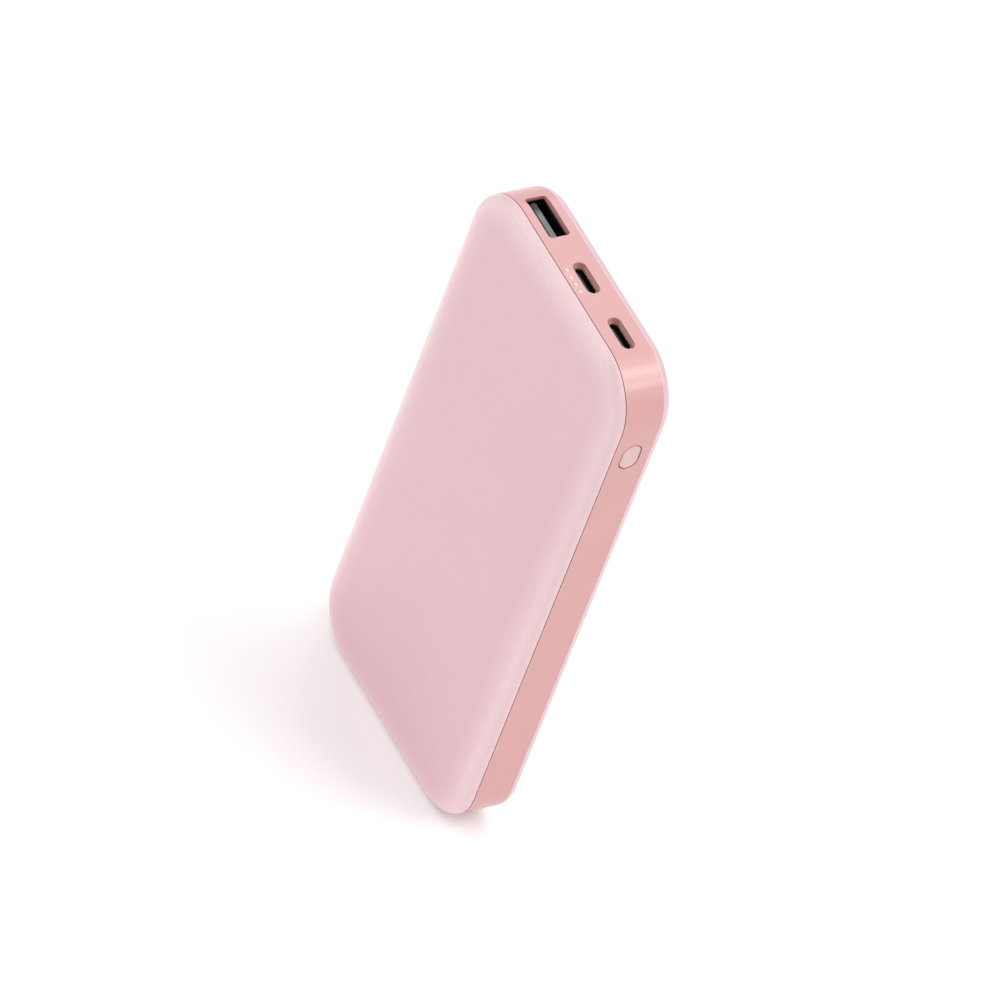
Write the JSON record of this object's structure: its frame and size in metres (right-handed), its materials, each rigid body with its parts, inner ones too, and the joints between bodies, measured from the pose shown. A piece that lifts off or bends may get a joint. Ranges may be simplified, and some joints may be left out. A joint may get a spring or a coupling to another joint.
{
  "type": "power bank",
  "caption": "Slim rounded power bank with soft-edged cover shells on a coloured side frame, USB sockets and charge lights on the top end, and a sprung push button on the side.",
  "frame": {"origin": "middle of the bottom end, halfway through the thickness", "axes": "+Z along the length towards the socket end, +X across the width towards the button side, -Y out of the front face"},
  "size_m": [0.073, 0.018, 0.16],
  "materials": {
    "soft_touch_front": "soft-touch matte coating",
    "soft_touch_back": "soft-touch matte coating",
    "satin_frame": "satin",
    "button_cap": "satin",
    "clear_guide": "milky clear",
    "led_emitter": "clear resin",
    "socket_metal": "nickel plated",
    "socket_plastic_grey": "moulded",
    "socket_plastic_black": "moulded",
    "gold_contact": "gold plated",
    "circuit_board": "solder mask",
    "chip_black": "moulded epoxy",
    "ferrite": "pressed powder",
    "ceramic": "fired ceramic",
    "switch_nylon": "moulded",
    "spring_steel": "bright",
    "screw_steel": "zinc plated",
    "cell_foil": "laminated foil",
    "tab_metal": "bright",
    "tape": "adhesive tape",
    "foam": "closed-cell foam",
    "partition_plastic": "moulded",
    "lead_red": "silicone",
    "lead_black": "silicone",
    "thermistor_bead": "epoxy bead"
  },
  "bodies": {
    "housing": {"back_cell": "cell_foil", "back_cover": "soft_touch_back", "back_foam": "foam", "board_screws": "screw_steel", "bottom_foam": "foam", "cell_partition": "partition_plastic", "cell_protection_board": "circuit_board", "cell_tabs": "tab_metal", "cell_tape": "tape", "ceramic_capacitors": "ceramic", "charge_controllers": "chip_black", "chip_resistors": "chip_black", "front_cell": "cell_foil", "front_cover": "soft_touch_front", "front_foam": "foam", "light_guide": "clear_guide", "main_board": "circuit_board", "negative_lead": "lead_black", "positive_lead": "lead_red", "power_inductors": "ferrite", "power_transistors": "chip_black", "side_frame": "satin_frame", "status_leds": "led_emitter", "switch_body": "socket_plastic_black", "switch_dome": "spring_steel", "switch_retainer": "socket_metal", "thermistor": "thermistor_bead", "usb_a_contacts": "gold_contact", "usb_a_shell": "socket_metal", "usb_a_tongue": "socket_plastic_grey", "usb_c_1_contacts": "gold_contact", "usb_c_1_shell": "socket_metal", "usb_c_1_tongue": "socket_plastic_black", "usb_c_2_contacts": "gold_contact", "usb_c_2_shell": "socket_metal", "usb_c_2_tongue": "socket_plastic_black"},
    "button": {"power_button": "button_cap", "switch_plunger": "switch_nylon"}
  },
  "joints": [
    {"name": "button_press", "type": "slide", "parent": "housing", "child": "button", "axis": [-1, 0, 0], "range_m": [0, 0.0003], "stiffness_N_per_m": 2500, "springref_m": -0.0004, "deforming": ["switch_dome"]}
  ]
}
